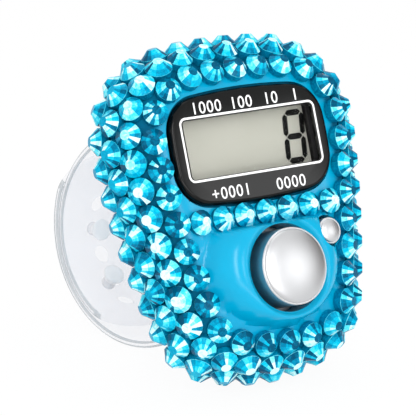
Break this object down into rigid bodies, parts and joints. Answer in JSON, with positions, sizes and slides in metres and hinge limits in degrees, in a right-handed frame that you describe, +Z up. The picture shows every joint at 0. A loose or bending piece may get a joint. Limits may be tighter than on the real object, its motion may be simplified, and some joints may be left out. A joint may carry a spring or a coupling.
{
  "type": "digital finger tally counter",
  "caption": "Finger-worn digital tally counter set with cut stones, with display, count and reset buttons and a clear adjustable band.",
  "frame": {"origin": "middle of the bounding box on the floor the counter stands on", "axes": "+X to the right of the display, +Y from the display to the finger band, +Z up, with the case leaning back on its band"},
  "size_m": [0.0348, 0.044, 0.0391],
  "materials": {
    "turquoise_plastic": "glossy moulded plastic",
    "cut_stone": "foil-backed faceted acrylic stones",
    "black_plastic": "glossy black plastic with white print",
    "chrome_plate": "satin chrome plated plastic",
    "clear_window": "clear acrylic",
    "display_glass": "liquid crystal display glass",
    "reflector_sheet": "pale grey reflector film",
    "grey_rubber": "silicone rubber",
    "board_laminate": "green solder mask",
    "black_epoxy": "epoxy drop over the chip",
    "nickel_steel": "nickel plated steel",
    "clear_band": "clear soft plastic"
  },
  "bodies": {
    "case": {"front_shell": "turquoise_plastic", "rear_cover": "turquoise_plastic", "display_bezel": "black_plastic", "display_window": "clear_window", "lcd_front_glass": "display_glass", "lcd_rear_glass": "display_glass", "lcd_reflector": "reflector_sheet", "lcd_holder": "black_plastic", "zebra_connector": "grey_rubber", "count_rubber_dome": "grey_rubber", "reset_rubber_dome": "grey_rubber", "circuit_board": "board_laminate", "chip_blob": "black_epoxy", "button_cell": "nickel_steel", "cell_base_contact": "nickel_steel", "cell_side_contact": "nickel_steel", "board_screw_1": "nickel_steel", "board_screw_2": "nickel_steel", "board_screw_3": "nickel_steel", "case_screw_1": "nickel_steel", "case_screw_2": "nickel_steel", "case_screw_3": "nickel_steel", "case_screw_4": "nickel_steel", "crystal_row_face": "cut_stone", "crystal_row_shoulder": "cut_stone", "crystal_row_side": "cut_stone", "crystal_row_rear": "cut_stone", "crystal_row_bridge": "cut_stone", "band_hole_strap": "clear_band", "band_peg_strap": "clear_band"},
    "count_key": {"count_button": "chrome_plate"},
    "reset_key": {"reset_button": "chrome_plate"},
    "door": {"battery_door": "turquoise_plastic"}
  },
  "joints": [
    {"name": "count_press", "type": "slide", "parent": "case", "child": "count_key", "axis": [0, 0.9403, -0.3405], "range_m": [0, 0.0008], "stiffness_N_per_m": 2500, "deforming": ["count_rubber_dome"]},
    {"name": "reset_press", "type": "slide", "parent": "case", "child": "reset_key", "axis": [0, 0.9403, -0.3405], "range_m": [0, 0.0006], "stiffness_N_per_m": 2500, "deforming": ["reset_rubber_dome"]},
    {"name": "door_turn", "type": "hinge", "parent": "case", "child": "door", "pos_m": [0, -0.00341, 0.01755], "axis": [0, 0.9403, -0.3405], "range_deg": [0, 45]}
  ]
}
